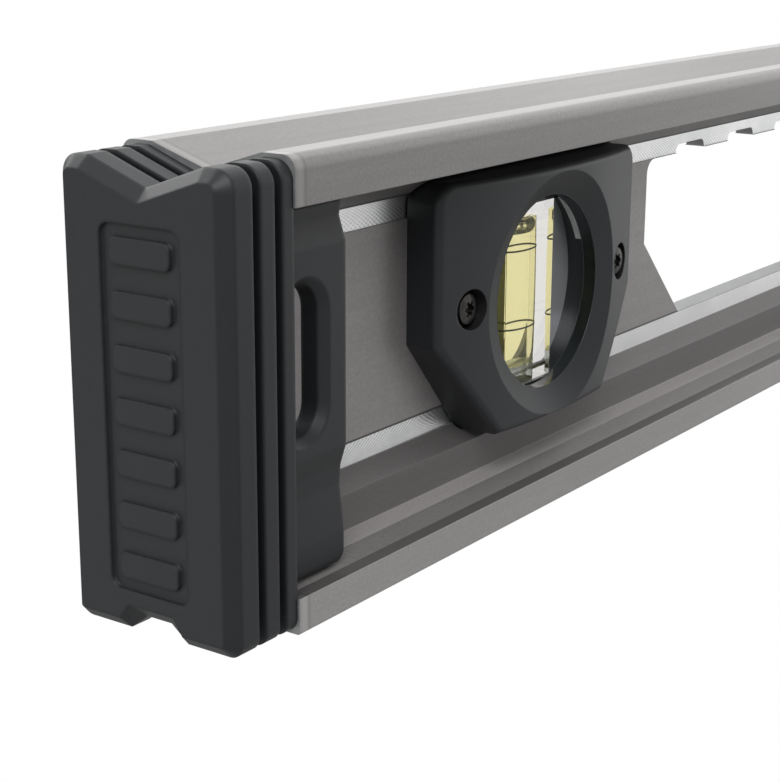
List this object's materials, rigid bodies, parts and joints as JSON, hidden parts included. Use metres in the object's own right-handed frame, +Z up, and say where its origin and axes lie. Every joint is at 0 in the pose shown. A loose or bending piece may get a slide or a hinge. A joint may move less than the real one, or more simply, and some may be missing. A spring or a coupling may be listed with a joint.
{
  "type": "i-beam level",
  "caption": "I-beam spirit level: a slotted aluminium beam with moulded end caps, a level vial in the middle, a plumb vial near each end and hand holes with finger notches.",
  "frame": {"origin": "middle of the lower working face", "axes": "+X along the beam to its right end, +Y from the front to the back, +Z up"},
  "size_m": [0.61, 0.0274, 0.06],
  "materials": {
    "beam": "grey satin coat with bare milled bands along the web",
    "end_cap": "fine matte charcoal moulding",
    "housing": "fine-grained black moulding",
    "clear_vial": "polished clear block",
    "vial_liquid": "clear yellow-green liquid",
    "vial_bubble": "air bubble",
    "vial_plug": "clear plug",
    "screws": "dark oxide"
  },
  "bodies": {
    "level": {"beam": "beam", "left_end_cap": "end_cap", "right_end_cap": "end_cap", "left_front_housing": "housing", "left_rear_housing": "housing", "left_vial_body": "clear_vial", "left_vial_liquid": "vial_liquid", "left_vial_plug": "vial_plug", "left_housing_screws": "screws", "level_front_housing": "housing", "level_rear_housing": "housing", "level_vial_body": "clear_vial", "level_vial_liquid": "vial_liquid", "level_vial_plug": "vial_plug", "level_housing_screws": "screws", "right_front_housing": "housing", "right_rear_housing": "housing", "right_vial_body": "clear_vial", "right_vial_liquid": "vial_liquid", "right_vial_plug": "vial_plug", "right_housing_screws": "screws"},
    "left_bubble": {"left_vial_bubble": "vial_bubble"},
    "middle_bubble": {"level_vial_bubble": "vial_bubble"},
    "right_bubble": {"right_vial_bubble": "vial_bubble"}
  },
  "joints": [
    {"name": "left_bubble_slide", "type": "slide", "parent": "level", "child": "left_bubble", "axis": [0, 0, 1], "range_m": [-0.0205, 0], "stiffness_N_per_m": 5, "springref_m": 0.004, "deforming": ["left_vial_liquid"]},
    {"name": "middle_bubble_slide", "type": "slide", "parent": "level", "child": "middle_bubble", "axis": [1, 0, 0], "range_m": [-0.0055, 0.0055], "stiffness_N_per_m": 5, "deforming": ["level_vial_liquid"]},
    {"name": "right_bubble_slide", "type": "slide", "parent": "level", "child": "right_bubble", "axis": [0, 0, 1], "range_m": [-0.0205, 0], "stiffness_N_per_m": 5, "springref_m": 0.004, "deforming": ["right_vial_liquid"]}
  ]
}
